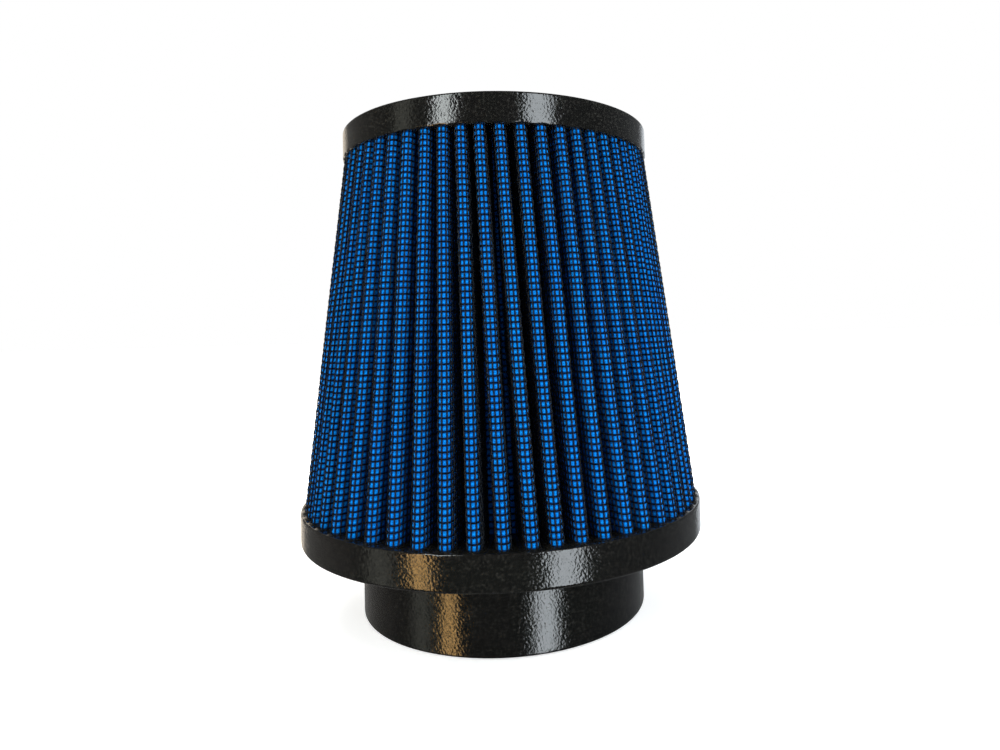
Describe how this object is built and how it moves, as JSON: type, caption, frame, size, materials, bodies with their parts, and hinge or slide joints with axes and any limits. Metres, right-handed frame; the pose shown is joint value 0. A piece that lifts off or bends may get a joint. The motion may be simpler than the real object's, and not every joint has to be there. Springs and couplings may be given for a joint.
{
  "type": "air filter",
  "caption": "Clamp-on conical air filter: pleated blue cotton gauze between black wire screens, cast black base flange with rubber neck and flat top cap.",
  "frame": {"origin": "centre of the neck's open end face", "axes": "+Z along the filter axis from the neck's open end to the top cap, -Y is the front, the media seam is at the back on +Y, +X is to the right"},
  "size_m": [0.1206, 0.1206, 0.1431],
  "materials": {
    "cap_rubber": "gloss",
    "blue_gauze": "matte",
    "black_mesh": "satin",
    "seam_steel": "satin",
    "cone_steel": "satin"
  },
  "bodies": {
    "root": {"base_flange": "cap_rubber", "top_cap": "cap_rubber", "outer_wire_screen": "black_mesh", "cotton_gauze_ply_1": "blue_gauze", "cotton_gauze_ply_2": "blue_gauze", "cotton_gauze_ply_3": "blue_gauze", "cotton_gauze_ply_4": "blue_gauze", "inner_wire_screen": "black_mesh", "seam_clip": "seam_steel", "inner_cone": "cone_steel", "cone_end_disc": "cone_steel"}
  },
  "joints": []
}
